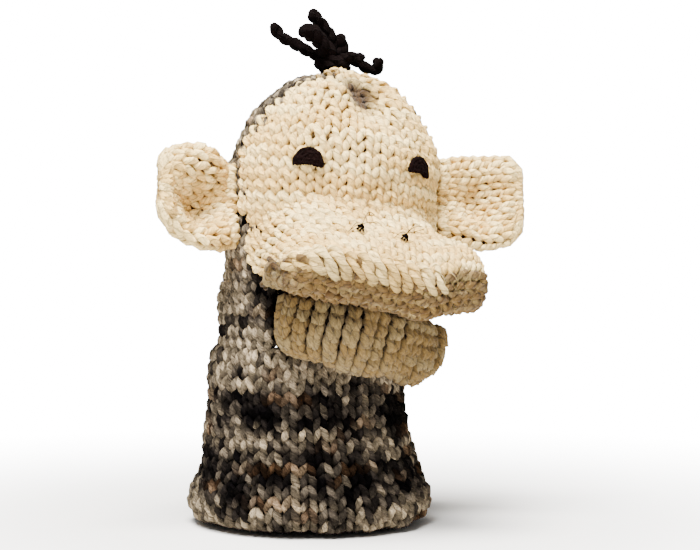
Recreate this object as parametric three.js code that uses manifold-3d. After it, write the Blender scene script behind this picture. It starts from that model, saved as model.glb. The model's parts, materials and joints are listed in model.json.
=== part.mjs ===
// A hand-knitted monkey glove puppet: a knitted sleeve for the arm, a hollow head for the fist,
// a muzzle for the fingers and a lower jaw for the thumb. Millimetres, +Z up, the face towards -Y.
import * as THREE from 'three';
import { mergeVertices } from 'three/addons/utils/BufferGeometryUtils.js';
import Module from 'manifold-3d';

const wasm = await Module();
wasm.setup();

// Driving dimensions.
const FABRIC = 4;            // thickness of one layer of the bulky knitting
const GAP = 0.3;             // clearance between neighbouring pieces
const SLIDE_GAP = 0.5;       // clearance between pieces that turn past each other
const ROUND_STEPS = 36;      // facets around the sleeve and the head

const HEM_RADIUS = 58;       // outside of the rolled hem
const HEM_HEIGHT = 18;
const HEM_FACE = [47, 55];   // inner and outer radius of the hem's flat underside
const WRIST_Z = 62;          // height of the wrist, which the head nods about
const WRIST_RADIUS = 47;     // outside of the sleeve at the wrist, and of its ball-shaped top
const SLEEVE_TOP_ANGLE = 26; // how far the ball-shaped top rises above the wrist, in degrees

const NAPE_Z = 73;           // lower edge of the head
const NECK_Z = 116;          // narrowest place of the neck
const TEMPLE_Z = 165;        // widest place of the head
const CROWN_Z = 215;
const NAPE_HALF = 48.2;
const NECK_HALF = 47;
const TEMPLE_HALF = 50.5;
const HEAD_DEPTH = 0.92;     // depth of the head as a share of its width
const FACE_FORWARD = 3;      // how far the head is carried forward of the sleeve's axis
const DOME_POWER = 1.8;      // roundness of the crown: 2 is an ellipse
const HEAD_LEAN = 6;         // the head leans towards its left, in degrees

const PANEL_TOP_Y = -9;      // seam of the face panel at the crown
const PANEL_LEAN = 4;        // slope of that seam, in degrees
const PANEL_BOTTOM_Z = 142;  // lower edge of the face panel beside the muzzle

const MOUTH_LEAN = 5;        // the muzzle and the jaw sag further to the left, in degrees
const MUZZLE_PIVOT = [-20, 128];  // y and z of the muzzle's axis in the head
const MUZZLE_HUB = 37.5;     // radius of the muzzle's root about that axis
const MUZZLE_HUB_HALF = 36;
const MUZZLE_HALF = 52;
const MUZZLE_ROOT_HALF = 38; // the muzzle is narrower, and centred, where it meets the face
const MUZZLE_CHEEK_Y = -24;  // how far back its sides reach into the head
const MOUTH_SHIFT = 4;       // the muzzle and the jaw stand off centre, to the left
const LIP_Y = -78;
const LIP_BOTTOM_Z = 104;
const ROOF_TOP_Z = 107.8;    // upper face of the mouth's roof
const MUZZLE_ROUNDING = 6;

const JAW_PIVOT = [-49, 74]; // y and z of the jaw's axis in the head
const JAW_HALF = 41;
const JAW_ROOT_HALF = 35;
const JAW_FRONT_Y = -65;
const JAW_TOP_Z = 101;
const JAW_ROUNDING = 6;
const JAW_SWEEP = 29;        // the jaw behind its axis stays within this radius
const THUMB_OPENING = { half: 31, low: 80, high: 112 };

const EAR_HEIGHT = 45;
const EAR_WIDTH = 41;
const EAR_THICKNESS = 11;
const EAR_Y = -11;
const EAR_CENTRE_Z = { right: 144, left: 158 };
const EAR_SEAM_RADIUS = 1.3;

const EYE_X = 26.7;
const EYE_Z = 165;
const EYE_SIZE = [14.2, 3, 9.5];   // width, thickness and height
const NOSTRIL_X = [-5.5, 15.5];
const NOSTRIL_Z = 136;
const NOSTRIL_LENGTH = 3.4;

const TUFT_KNOT = [-5.5, -0.5, 218.8];
const TUFT_KNOT_SIZE = [8, 6, 3.6];
const STRAND_RADIUS = 2.2;
const SEAM_YARN_RADIUS = 1.3;

const rad = THREE.MathUtils.degToRad;

// Materials.
const material = (color, roughness) => new THREE.MeshStandardMaterial({ color, roughness, metalness: 0 });
const CREAM = () => material(0xeee1c4, 0.92);
const VARIEGATED = () => material(0x6d665e, 0.95);
const DARK_FELT = () => material(0x261212, 0.9);
const DARK_YARN = () => material(0x1c1512, 0.85);

// Solids.

/** A closed geometry as a solid for cutting and joining, with its faces turned outwards. */
function solid(geometry) {
  const plain = geometry.index ? geometry.toNonIndexed() : geometry.clone();
  plain.deleteAttribute('normal');
  plain.deleteAttribute('uv');
  const merged = mergeVertices(plain, 1e-4);
  const corners = merged.attributes.position.array;
  const all = merged.index.array;
  const kept = [];
  let volume = 0;
  const [a, b, c] = [new THREE.Vector3(), new THREE.Vector3(), new THREE.Vector3()];
  for (let i = 0; i < all.length; i += 3) {
    const [p, q, r] = [all[i], all[i + 1], all[i + 2]];
    if (p === q || q === r || r === p) continue;
    a.fromArray(corners, 3 * p);
    b.fromArray(corners, 3 * q);
    c.fromArray(corners, 3 * r);
    volume += a.dot(b.cross(c));
    kept.push(p, q, r);
  }
  if (volume < 0) {
    kept.reverse();
  }
  const mesh = new wasm.Mesh({ numProp: 3, vertProperties: corners, triVerts: Uint32Array.from(kept) });
  return new wasm.Manifold(mesh);
}

/** A finished solid as a three.js geometry. */
function geometryOf(body) {
  const mesh = body.getMesh();
  const geometry = new THREE.BufferGeometry();
  geometry.setAttribute('position', new THREE.BufferAttribute(mesh.vertProperties, 3));
  geometry.setIndex(new THREE.BufferAttribute(mesh.triVerts, 1));
  geometry.computeVertexNormals();
  return geometry;
}

function piece(name, body, colour) {
  const mesh = new THREE.Mesh(geometryOf(body), colour());
  mesh.name = name;
  return mesh;
}

/** A profile of [radius, height] points turned about the Z axis. */
function turned(profile, steps = ROUND_STEPS) {
  const points = profile.map(([radius, height]) => new THREE.Vector2(radius, height));
  return new THREE.LatheGeometry(points, steps).rotateX(Math.PI / 2);
}

/** A side view of [y, z] points carried from -half to half along X, with its ends rounded. */
function sideways(outline, half, rounding = 0) {
  const shape = new THREE.Shape(outline.map(([y, z]) => new THREE.Vector2(y, z)));
  const geometry = new THREE.ExtrudeGeometry(shape, {
    depth: 2 * (half - rounding),
    bevelEnabled: rounding > 0,
    bevelSize: rounding,
    bevelOffset: -rounding,
    bevelThickness: rounding,
    bevelSegments: 3,
  });
  geometry.translate(0, 0, -(half - rounding));
  const [x, y, z] = [new THREE.Vector3(1, 0, 0), new THREE.Vector3(0, 1, 0), new THREE.Vector3(0, 0, 1)];
  return geometry.applyMatrix4(new THREE.Matrix4().makeBasis(y, z, x));
}

function box(low, high) {
  const size = high.map((value, i) => value - low[i]);
  const centre = high.map((value, i) => (value + low[i]) / 2);
  return new THREE.BoxGeometry(...size).translate(...centre);
}

/** A round bar along X about a [y, z] point. */
function bar(radius, half, [y, z], steps = 64) {
  return new THREE.CylinderGeometry(radius, radius, 2 * half, steps).rotateZ(Math.PI / 2).translate(0, y, z);
}

/** A yarn of round section along a smooth line through the points. */
function yarn(points, radius, steps, sides = 8) {
  const section = new THREE.Shape();
  for (let i = 0; i < sides; i += 1) {
    const turn = (2 * Math.PI * i) / sides;
    const [x, y] = [radius * Math.cos(turn), radius * Math.sin(turn)];
    i ? section.lineTo(x, y) : section.moveTo(x, y);
  }
  const path = new THREE.CatmullRomCurve3(points.map((p) => new THREE.Vector3(...p)));
  return new THREE.ExtrudeGeometry(section, { steps, bevelEnabled: false, extrudePath: path });
}

/** A geometry leant about an axis parallel to Y through a point at height z. */
function lean(geometry, degrees, z) {
  return geometry.translate(0, 0, -z).rotateY(rad(degrees)).translate(0, 0, z);
}

function polar([y, z], radius, degrees) {
  return [y - radius * Math.cos(rad(degrees)), z + radius * Math.sin(rad(degrees))];
}

function arc(centre, radius, from, to, count) {
  return Array.from({ length: count + 1 }, (_, i) => polar(centre, radius, from + ((to - from) * i) / count));
}

const inTheMouth = (geometry) => lean(geometry, MOUTH_LEAN, MUZZLE_PIVOT[1]);

// The sleeve: a tube with a rolled hem, narrowing to a ball-shaped top under the head's lower edge.

function sleeve() {
  const [faceIn, faceOut] = HEM_FACE;
  const rise = Array.from({ length: 5 }, (_, i) => (SLEEVE_TOP_ANGLE * i) / 4);
  const ball = (radius) => rise.map((a) => [radius * Math.cos(rad(a)), WRIST_Z + radius * Math.sin(rad(a))]);
  const outside = [
    [faceOut, 0],
    [HEM_RADIUS - 0.4, 4],
    [HEM_RADIUS, 8],
    [HEM_RADIUS - 1.5, 13],
    [53, HEM_HEIGHT],
    [50.8, 25],
    [49.3, 42],
    ...ball(WRIST_RADIUS),
  ];
  const inside = [
    ...ball(WRIST_RADIUS - FABRIC).reverse(),
    [49.3 - FABRIC, 42],
    [faceIn - 0.6, HEM_HEIGHT],
    [faceIn, 6],
    [faceIn, 0],
  ];
  return solid(turned([...outside, ...inside, [faceOut, 0]]));
}

// The head: one hollow shell, cut at the seam into the back of the head and the face panel.

const ease = (t) => t * t * (3 - 2 * t);

function headHalf(z, inset) {
  if (z >= TEMPLE_Z) {
    const high = Math.min(1, (z - TEMPLE_Z) / (CROWN_Z - inset - TEMPLE_Z));
    return (TEMPLE_HALF - inset) * (1 - high ** DOME_POWER) ** (1 / DOME_POWER);
  }
  if (z >= NECK_Z) {
    return NECK_HALF - inset + (TEMPLE_HALF - NECK_HALF) * ease((z - NECK_Z) / (TEMPLE_Z - NECK_Z));
  }
  return NAPE_HALF - inset + (NECK_HALF - NAPE_HALF) * ease((z - NAPE_Z) / (NECK_Z - NAPE_Z));
}

const headShare = (z) => ease(THREE.MathUtils.clamp((z - 95) / 55, 0, 1));

/** Depth of the head's outside at a half-width x and a height z. */
function faceY(x, z) {
  const half = headHalf(z, 0);
  const flat = 1 - (1 - HEAD_DEPTH) * headShare(z);
  return -FACE_FORWARD * headShare(z) - half * flat * Math.sqrt(Math.max(0, 1 - (x / half) ** 2));
}

function headShell() {
  const wall = (inset) => {
    const crown = CROWN_Z - inset;
    const straight = Array.from({ length: 9 }, (_, i) => NAPE_Z + ((TEMPLE_Z - NAPE_Z) * i) / 9);
    const arch = Array.from({ length: 9 }, (_, i) => Math.sin(rad((i * 90) / 8)));
    const dome = arch.map((rise) => TEMPLE_Z + (crown - TEMPLE_Z) * rise);
    return [...straight, ...dome].map((z, i, all) => [i === all.length - 1 ? 0 : headHalf(z, inset), z]);
  };
  const geometry = turned([...wall(FABRIC).reverse(), ...wall(0)]);
  const place = geometry.attributes.position;
  for (let i = 0; i < place.count; i += 1) {
    const share = headShare(place.getZ(i));
    place.setY(i, place.getY(i) * (1 - (1 - HEAD_DEPTH) * share) - FACE_FORWARD * share);
  }
  const wristBall = new THREE.SphereGeometry(WRIST_RADIUS + SLIDE_GAP, 48, 32).translate(0, 0, WRIST_Z);
  const mouth = inTheMouth(bar(MUZZLE_HUB + SLIDE_GAP, MUZZLE_HUB_HALF + SLIDE_GAP, MUZZLE_PIVOT));
  const { half, low, high } = THUMB_OPENING;
  const thumb = box([-half, -80, low], [half, 0, high]);
  return solid(geometry).subtract(solid(wristBall)).subtract(solid(mouth)).subtract(solid(thumb));
}

/** Everything in front of the face panel's seam, moved back by some distance. */
function panelSide(back) {
  const slab = box([-100, -200, PANEL_BOTTOM_Z - CROWN_Z - back], [100, back, 100]);
  return solid(slab.rotateX(rad(-PANEL_LEAN)).translate(0, PANEL_TOP_Y, CROWN_Z));
}

/** A point of the face panel's seam at a height, raised off the surface. */
function seamPoint(side, z, out) {
  const y = PANEL_TOP_Y - (CROWN_Z - z) * Math.tan(rad(PANEL_LEAN));
  const half = headHalf(z, 0) + out;
  const depth = half * (1 - (1 - HEAD_DEPTH) * headShare(z));
  const x = half * Math.sqrt(Math.max(0, 1 - ((y + FACE_FORWARD * headShare(z)) / depth) ** 2));
  return [side * x, y, z];
}

/** The yarn of the face panel's seam, from above one ear over the crown to above the other. */
function faceSeam() {
  const out = SEAM_YARN_RADIUS + GAP + 1;
  const climb = (side, centreZ) => {
    const start = centreZ + EAR_HEIGHT / 2 + 3;
    const end = CROWN_Z - 4;
    return [0, 0.2, 0.4, 0.6, 0.8, 1].map((t) => seamPoint(side, start + (end - start) * Math.sqrt(t), out));
  };
  const top = [-9, 9].map((x) => [x, PANEL_TOP_Y - 1, CROWN_Z + 0.2]);
  const path = [...climb(-1, EAR_CENTRE_Z.right), ...top, ...climb(1, EAR_CENTRE_Z.left).reverse()];
  return solid(yarn(path, SEAM_YARN_RADIUS, 48, 6));
}

// The muzzle: a flattened pouch for the fingers on a round root that turns in the head's opening.

function muzzle() {
  const outer = [
    polar(MUZZLE_PIVOT, MUZZLE_HUB, 31.8),
    [-62, 139.5],
    [-71, 130],
    [LIP_Y + 2, 121],
    [LIP_Y, 113],
    [LIP_Y + 2, 106.5],
    [LIP_Y + 7, LIP_BOTTOM_Z],
    [-36, LIP_BOTTOM_Z],
    [-36, 128],
  ];
  const inner = [
    polar(MUZZLE_PIVOT, MUZZLE_HUB - FABRIC, 31.8),
    [-59.2, 136.7],
    [-67.5, 127.6],
    [LIP_Y + 6, 120],
    [LIP_Y + 4.4, 113],
    [LIP_Y + 6, 109],
    [LIP_Y + 8, 108],
    [-20, 108],
    [-20, 150],
  ];
  const root = [
    ...arc(MUZZLE_PIVOT, MUZZLE_HUB, 28, 68, 8),
    ...arc(MUZZLE_PIVOT, MUZZLE_HUB - FABRIC, 68, 28, 8),
  ];
  const flare = (inset) => muzzlePlan(inset, [LIP_Y - 20, 0], [80, 200]);
  const cheeks = solid(bar(MUZZLE_HUB, MUZZLE_HUB_HALF, MUZZLE_PIVOT))
    .subtract(solid(bar(MUZZLE_HUB + 1, MUZZLE_HUB_HALF - FABRIC, MUZZLE_PIVOT)))
    .intersect(solid(box([-60, -90, ROOF_TOP_Z + GAP], [60, MUZZLE_CHEEK_Y, 200])));
  const outside = solid(sideways(outer, MUZZLE_HALF, MUZZLE_ROUNDING)).intersect(flare(0));
  const inside = solid(sideways(inner, MUZZLE_HALF - FABRIC)).intersect(flare(FABRIC));
  return outside
    .subtract(inside)
    .subtract(muzzlePlan(5.5, [LIP_Y + 7.5, -20], [90, ROOF_TOP_Z + GAP]))
    .translate([MOUTH_SHIFT, 0, 0])
    .add(solid(sideways(root, MUZZLE_HUB_HALF)))
    .add(cheeks);
}

/**
 * A block in plan view, less an inset, that narrows from half to rootHalf between two places along Y.
 * Its root stays centred on the head once the block is moved by MOUTH_SHIFT.
 */
function mouthPlan(half, rootHalf, [wide, narrow], inset, [front, back], [low, high]) {
  const corner = Math.min(9, wide - front);
  const side = (way) => [
    [way * (half - inset - corner), front],
    [way * (half - inset - corner * 0.3), front + corner * 0.3],
    [way * (half - inset), front + corner],
    [way * (half - inset), wide],
    [way * (rootHalf - inset) - MOUTH_SHIFT, narrow],
    [way * (rootHalf - inset) - MOUTH_SHIFT, back],
  ];
  const outline = [...side(1), ...side(-1).reverse()];
  const shape = new THREE.Shape(outline.map(([x, y]) => new THREE.Vector2(x, y)));
  const geometry = new THREE.ExtrudeGeometry(shape, { depth: high - low, bevelEnabled: false });
  return solid(geometry.translate(0, 0, low));
}

function muzzlePlan(inset, depths, heights) {
  return mouthPlan(MUZZLE_HALF, MUZZLE_ROOT_HALF, [-64, -36], inset, depths, heights);
}

function jawPlan(inset, depths, heights) {
  return mouthPlan(JAW_HALF, JAW_ROOT_HALF, [-54, -38], inset, depths, heights);
}

function mouthRoof() {
  return muzzlePlan(6, [LIP_Y + 8, -38], [LIP_BOTTOM_Z, ROOF_TOP_Z]).translate([MOUTH_SHIFT, 0, 0]);
}

function mouthFloor() {
  return jawPlan(5, [JAW_FRONT_Y + 5.2, -36], [95, 98.5]).translate([MOUTH_SHIFT, 0, 0]);
}

// The jaw: a pouch for the thumb in front of the neck.

function jaw() {
  const outer = [
    [JAW_FRONT_Y + 2.5, JAW_TOP_Z],
    [JAW_FRONT_Y, 92],
    [JAW_FRONT_Y + 0.5, 84],
    [JAW_FRONT_Y + 4, 77.5],
    [JAW_FRONT_Y + 10, JAW_PIVOT[1]],
    [-20, JAW_PIVOT[1]],
    [-20, JAW_TOP_Z],
  ];
  const inner = [
    [JAW_FRONT_Y + 6.5, JAW_TOP_Z + 9],
    [JAW_FRONT_Y + 4, 92],
    [JAW_FRONT_Y + 4.6, 85],
    [JAW_FRONT_Y + 7.5, 80],
    [JAW_FRONT_Y + 11.5, JAW_PIVOT[1] + FABRIC],
    [-10, JAW_PIVOT[1] + FABRIC],
    [-10, JAW_TOP_Z + 9],
  ];
  const neck = turned([[0, 60], [NAPE_HALF + 1, 60], [NAPE_HALF + 1, 120], [0, 120]], 64);
  const front = box([-60, -90, 60], [60, JAW_PIVOT[0], 120]);
  const reach = solid(front).add(solid(bar(JAW_SWEEP, 60, JAW_PIVOT)));
  const flare = (inset) => jawPlan(inset, [JAW_FRONT_Y - 20, 0], [50, 130]);
  return solid(sideways(outer, JAW_HALF, JAW_ROUNDING))
    .intersect(flare(0))
    .subtract(solid(sideways(inner, JAW_HALF - FABRIC)).intersect(flare(FABRIC)))
    .translate([MOUTH_SHIFT, 0, 0])
    .intersect(reach)
    .subtract(solid(lean(neck, -MOUTH_LEAN, JAW_TOP_Z)));
}

// An ear: a cupped flap that turns about the yarn of its seam.

/** Half-width of the head where the ears are sewn on, at a height z. */
function earSeamX(z) {
  const half = headHalf(z, 0);
  const depth = half * (1 - (1 - HEAD_DEPTH) * headShare(z));
  return half * Math.sqrt(1 - ((EAR_Y + FACE_FORWARD * headShare(z)) / depth) ** 2);
}

/** The two ends of an ear's straight seam in the head; side is -1 on the puppet's right. */
function earSeamEnds(side, centreZ) {
  const reach = EAR_HEIGHT / 2 - 4;
  const [low, high] = [centreZ - reach, centreZ + reach];
  const bulge = earSeamX(centreZ) - (earSeamX(low) + earSeamX(high)) / 2;
  const out = EAR_SEAM_RADIUS + SLIDE_GAP + Math.max(0, bulge) + 0.5;
  return [low, high].map((z) => new THREE.Vector3(side * (earSeamX(z) + out), EAR_Y, z));
}

/** The ear's frame: X outwards along the flap, Z up along its seam. */
function earPlace([low, high]) {
  const up = high.clone().sub(low).normalize();
  const across = new THREE.Vector3(0, 1, 0).cross(up).normalize();
  const frame = new THREE.Matrix4().makeBasis(across, up.clone().cross(across), up);
  frame.setPosition(low.clone().add(high).multiplyScalar(0.5));
  return frame;
}

function ear(side) {
  const root = EAR_SEAM_RADIUS + 0.5;
  const half = EAR_HEIGHT / 2;
  const shape = new THREE.Shape();
  shape.moveTo(root, -half + 6);
  shape.bezierCurveTo(12, -half - 2, EAR_WIDTH, -half - 2, EAR_WIDTH, 0);
  shape.bezierCurveTo(EAR_WIDTH, half + 2, 12, half + 2, root, half - 6);
  const rounding = 3.5;
  const flap = new THREE.ExtrudeGeometry(shape, {
    depth: EAR_THICKNESS - 2 * rounding,
    bevelSize: rounding,
    bevelOffset: -rounding,
    bevelThickness: rounding,
    bevelSegments: 3,
    curveSegments: 7,
  });
  flap.translate(0, 0, -EAR_THICKNESS / 2 + rounding).rotateX(Math.PI / 2);
  const cup = new THREE.SphereGeometry(1, 20, 12).scale(13.5, 8, 12);
  cup.translate(17, -EAR_THICKNESS / 2 - 0.5, 0);
  const body = solid(flap).subtract(solid(cup));
  return side > 0 ? body : body.mirror([1, 0, 0]);
}

// Small pieces.

/** An arched eye: a half-round dome standing on its straight lower edge, facing -Y. */
function eye() {
  const [width, thick, height] = EYE_SIZE;
  const ball = new THREE.SphereGeometry(1, 24, 16).scale(width / 2, thick, height);
  const upperFront = box([-width, -2 * thick, 0], [width, 0, 2 * height]);
  return solid(ball).intersect(solid(upperFront));
}

function stitch(length, radius) {
  return solid(new THREE.CapsuleGeometry(radius, length - 2 * radius, 4, 10).rotateZ(Math.PI / 2));
}

/** Turns a piece that faces -Y to lie on the head at a half-width x and a height z. */
function onFace(mesh, x, z, raise) {
  const here = new THREE.Vector3(x, faceY(x, z), z);
  const right = new THREE.Vector3(x + 1, faceY(x + 1, z), z).sub(here);
  const up = new THREE.Vector3(x, faceY(x, z + 1), z + 1).sub(here);
  const out = right.cross(up).normalize();
  mesh.position.copy(here).addScaledVector(out, raise);
  mesh.rotation.z = Math.atan2(out.x, -out.y);
  return mesh;
}

function tuftKnot() {
  return solid(new THREE.SphereGeometry(1, 16, 8).scale(...TUFT_KNOT_SIZE));
}

/** The tuft's strands: places from the knot's centre, out to each tip. */
const STRANDS = [
  { points: [[-9, 3, 2.6], [-14, 4, 5], [-20.5, 5, 7], [-27, 6, 11], [-31, 6, 17]] },
  { points: [[-1.6, -0.4, 6.4], [-1, -0.8, 13], [-6.5, -1.4, 17.5], [-11.5, -2.2, 22], [-16.5, -3, 25]] },
  { points: [[-6.4, -4.4, 5.6], [-10.5, -6, 9.4], [-15.5, -7, 12.5], [-23, -7.5, 13.5]], radius: 3 },
  { points: [[8.6, 3.6, 3], [13.5, 4.4, 4.4], [19, 4, 2.6], [24, 3, 4], [22.5, 1.6, 8.6]] },
  { points: [[4, 1.6, 6.4], [5, 1.8, 10], [4.6, 1.4, 14.5]], radius: 2.8 },
  { points: [[6.4, -6.4, 3.2], [9.5, -9, 3.4], [11, -11.5, 1.6]], radius: 1.8 },
];

function strand({ points, radius = STRAND_RADIUS }) {
  return solid(yarn(points, radius, 5 * (points.length - 1), 8));
}

// The puppet, put together: the mouth's pieces lean in the head, and the head leans on the wrist.

const puppet = new THREE.Group();
const head = new THREE.Group();
const muzzleGroup = new THREE.Group();
const jawGroup = new THREE.Group();

/** Turns a group about an axis parallel to Y through a point at height z. */
function leanGroup(group, degrees, z) {
  group.rotation.y = rad(degrees);
  group.position.set(-z * Math.sin(rad(degrees)), 0, z * (1 - Math.cos(rad(degrees))));
}

leanGroup(head, HEAD_LEAN, WRIST_Z);
leanGroup(muzzleGroup, MOUTH_LEAN, MUZZLE_PIVOT[1]);
leanGroup(jawGroup, MOUTH_LEAN, JAW_TOP_Z);
puppet.add(head);
head.add(muzzleGroup, jawGroup);

puppet.add(piece('sleeve', sleeve(), VARIEGATED));

const shell = headShell();
head.add(piece('head_back', shell.subtract(panelSide(GAP)), VARIEGATED));
head.add(piece('face_panel', shell.intersect(panelSide(0)), CREAM));
head.add(piece('face_seam_yarn', faceSeam(), CREAM));

muzzleGroup.add(piece('upper_muzzle', muzzle(), CREAM));
muzzleGroup.add(piece('mouth_roof', mouthRoof(), CREAM));
jawGroup.add(piece('lower_jaw', jaw(), CREAM));
jawGroup.add(piece('mouth_floor', mouthFloor(), CREAM));

for (const [i, name] of ['nostril_right', 'nostril_left'].entries()) {
  const nostril = piece(name, stitch(NOSTRIL_LENGTH, 0.8), DARK_YARN);
  nostril.position.set(NOSTRIL_X[i], -66.6, NOSTRIL_Z + 0.6);
  muzzleGroup.add(nostril);
}

for (const [name, side] of [['eye_right', -1], ['eye_left', 1]]) {
  head.add(onFace(piece(name, eye(), DARK_FELT), side * EYE_X, EYE_Z, 0.9));
}

for (const [name, side] of [['right', -1], ['left', 1]]) {
  const ends = earSeamEnds(side, EAR_CENTRE_Z[name]);
  const flap = piece(`ear_${name}`, ear(side), CREAM);
  flap.applyMatrix4(earPlace(ends));
  const seam = yarn(ends.map((end) => end.toArray()), EAR_SEAM_RADIUS, 4, 8);
  head.add(flap, piece(`ear_${name}_seam_yarn`, solid(seam), CREAM));
}

const knot = piece('tuft_knot', tuftKnot(), DARK_YARN);
knot.position.set(...TUFT_KNOT);
head.add(knot);
STRANDS.forEach((shape, i) => {
  const mesh = piece(`tuft_strand_${i + 1}`, strand(shape), DARK_YARN);
  mesh.position.set(...TUFT_KNOT);
  head.add(mesh);
});

export default puppet;
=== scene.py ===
"""A hand-knitted monkey glove puppet: every visible piece is knitted, sewn or twisted from yarn as geometry.

Lengths inside this file are millimetres in the shared frame and become metres when a mesh is made.
"""

import math

import bpy
import numpy as np
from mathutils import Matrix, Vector
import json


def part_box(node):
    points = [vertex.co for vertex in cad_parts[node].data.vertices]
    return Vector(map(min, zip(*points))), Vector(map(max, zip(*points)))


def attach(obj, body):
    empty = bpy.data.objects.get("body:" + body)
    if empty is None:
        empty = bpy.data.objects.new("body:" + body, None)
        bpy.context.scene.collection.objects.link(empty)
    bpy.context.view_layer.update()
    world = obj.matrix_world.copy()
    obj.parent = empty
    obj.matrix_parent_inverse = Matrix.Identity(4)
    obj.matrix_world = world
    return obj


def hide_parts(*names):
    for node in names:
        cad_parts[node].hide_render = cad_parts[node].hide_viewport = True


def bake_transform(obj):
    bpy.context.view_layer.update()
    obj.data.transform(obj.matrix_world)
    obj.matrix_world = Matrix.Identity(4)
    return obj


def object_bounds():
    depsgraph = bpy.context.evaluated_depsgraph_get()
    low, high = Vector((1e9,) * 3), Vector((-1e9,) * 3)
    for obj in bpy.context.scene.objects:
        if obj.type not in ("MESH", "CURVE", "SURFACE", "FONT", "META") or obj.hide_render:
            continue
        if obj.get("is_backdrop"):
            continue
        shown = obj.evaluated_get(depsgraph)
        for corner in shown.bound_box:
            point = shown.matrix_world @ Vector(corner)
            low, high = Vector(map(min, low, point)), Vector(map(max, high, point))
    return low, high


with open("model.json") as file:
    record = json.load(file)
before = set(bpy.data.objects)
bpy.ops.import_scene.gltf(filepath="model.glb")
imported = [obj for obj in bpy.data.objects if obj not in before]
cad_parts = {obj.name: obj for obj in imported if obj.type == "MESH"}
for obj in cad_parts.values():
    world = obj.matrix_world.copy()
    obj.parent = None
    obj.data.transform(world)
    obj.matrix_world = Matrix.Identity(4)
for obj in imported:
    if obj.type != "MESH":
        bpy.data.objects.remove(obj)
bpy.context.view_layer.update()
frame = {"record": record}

MM = 0.001
CAMERA_TURN = math.radians(-18)

# The yarn and its stitches.
COLUMN = 7.0            # width of one column of stitches
COURSE = 5.2            # height of one course
COLUMNS_ROUND = 42
YARN_RADIUS = 1.55
PLY_PITCH = 8.5         # length of one turn of the two plies
STITCH_LEAN = 0.235     # how far a loop's legs splay, in columns
STITCH_REACH = 0.82     # how far a loop reaches up and down, in courses
STITCH_DEPTH = 1.3      # how far the legs stand in front of the loops' ends
TIP_REACH = 0.6         # how far a yarn's end is rounded off, in radii
BACKING_SHADE = 0.45     # brightness of the sheet behind the loops, darkened as painted shade in the gaps
THICK_PLY_PITCH = 11.0  # length of one turn of the plies in the thick dark yarn

# The puppet's lean and shape, as in the CAD.
WRIST_Z = 62.0
HEAD_LEAN = math.radians(6)
MOUTH_LEAN = math.radians(5)
MUZZLE_Z = 128.0
JAW_TOP_Z = 101.0
TEMPLE_Z = 165.0
CROWN_Z = 212.0
TEMPLE_HALF = 47.5
DOME_POWER = 1.8
HEAD_DEPTH = 0.92
FACE_FORWARD = 3.0

# The wool's colours, in linear light.
BLACK = np.array([0.0014, 0.0011, 0.0012])
CHARCOAL = np.array([0.010, 0.0080, 0.0068])
GREY = np.array([0.058, 0.047, 0.035])
OATMEAL = np.array([0.235, 0.185, 0.120])
BROWN = np.array([0.12, 0.062, 0.028])
CREAM = np.array([0.72, 0.47, 0.150])
CREAM_PALE = np.array([0.88, 0.65, 0.27])
# Tan: the wool's own warmer tone, and also painted shade deep between the stitches.
TAN_AND_SHADE = np.array([0.14, 0.065, 0.016])
# Umber: brown deep in the crown's dimple, partly its own colour and partly painted shade in the hollow.
UMBER_AND_SHADE = np.array([0.028, 0.012, 0.004])
FELT = np.array([0.0040, 0.0012, 0.0010])
INK = np.array([0.0022, 0.0010, 0.0009])


# Small mathematics.

def smoothstep(low, high, value):
    t = np.clip((np.asarray(value, float) - low) / (high - low), 0, 1)
    return t * t * (3 - 2 * t)


def unit(vectors):
    return vectors / np.maximum(np.linalg.norm(vectors, axis=-1, keepdims=True), 1e-9)


def along(points, count):
    """The same line with its points spread evenly, by length."""
    points = np.asarray(points, float)
    steps = np.linalg.norm(np.diff(points, axis=0), axis=1)
    length = np.concatenate([[0], np.cumsum(steps)])
    places = np.linspace(0, length[-1], count)
    return np.stack([np.interp(places, length, points[:, i]) for i in range(points.shape[1])], axis=1)


def smooth_line(points, count):
    """A smooth line through the points, spread evenly by length."""
    points = np.asarray(points, float)
    before = 2 * points[0] - points[1]
    after = 2 * points[-1] - points[-2]
    padded = np.vstack([before, points, after])
    t = np.linspace(0, 1, 17)[:-1][:, None]
    line = []
    for a, b, c, d in zip(padded, padded[1:], padded[2:], padded[3:]):
        square = (2 * a - 5 * b + 4 * c - d) * t**2
        cube = (3 * b - a - 3 * c + d) * t**3
        line.append(0.5 * (2 * b + (c - a) * t + square + cube))
    line.append(points[-1:])
    return along(np.vstack(line), count)


def turned_about_y(points, angle, z):
    """Points leant towards +X about an axis parallel to Y at a height z."""
    x, y, up = points[..., 0], points[..., 1], points[..., 2] - z
    across = x * np.cos(angle) + up * np.sin(angle)
    height = z - x * np.sin(angle) + up * np.cos(angle)
    return np.stack([across, y, height], axis=-1)


def in_head(points):
    return turned_about_y(points, HEAD_LEAN, WRIST_Z)


def in_muzzle(points):
    return in_head(turned_about_y(points, MOUTH_LEAN, MUZZLE_Z))


def in_jaw(points):
    return in_head(turned_about_y(points, MOUTH_LEAN, JAW_TOP_Z))


def in_tube(points):
    """The tube bends at the wrist into the head's lean."""
    angle = HEAD_LEAN * smoothstep(46, 90, points[..., 2])
    z = points[..., 2]
    spine = -2.5 * smoothstep(5, 58, z) * (1 - smoothstep(62, 98, z))
    placed = turned_about_y(points, angle, WRIST_Z)
    placed[..., 0] += spine
    return placed


def waves(seed, count, shortest, longest):
    rng = np.random.default_rng(seed)
    lengths = rng.uniform(shortest, longest, count)
    return [(way * 2 * np.pi / size, turn) for way, size, turn in
            zip(unit(rng.normal(size=(count, 3))), lengths, rng.uniform(0, 6.28, count))]


LUMPS = waves(3, 9, 16, 44)
SHADES = waves(5, 12, 10, 38)


def ripple(points, kind):
    return sum(np.sin(points @ way + turn) for way, turn in kind) / math.sqrt(len(kind))


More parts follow.
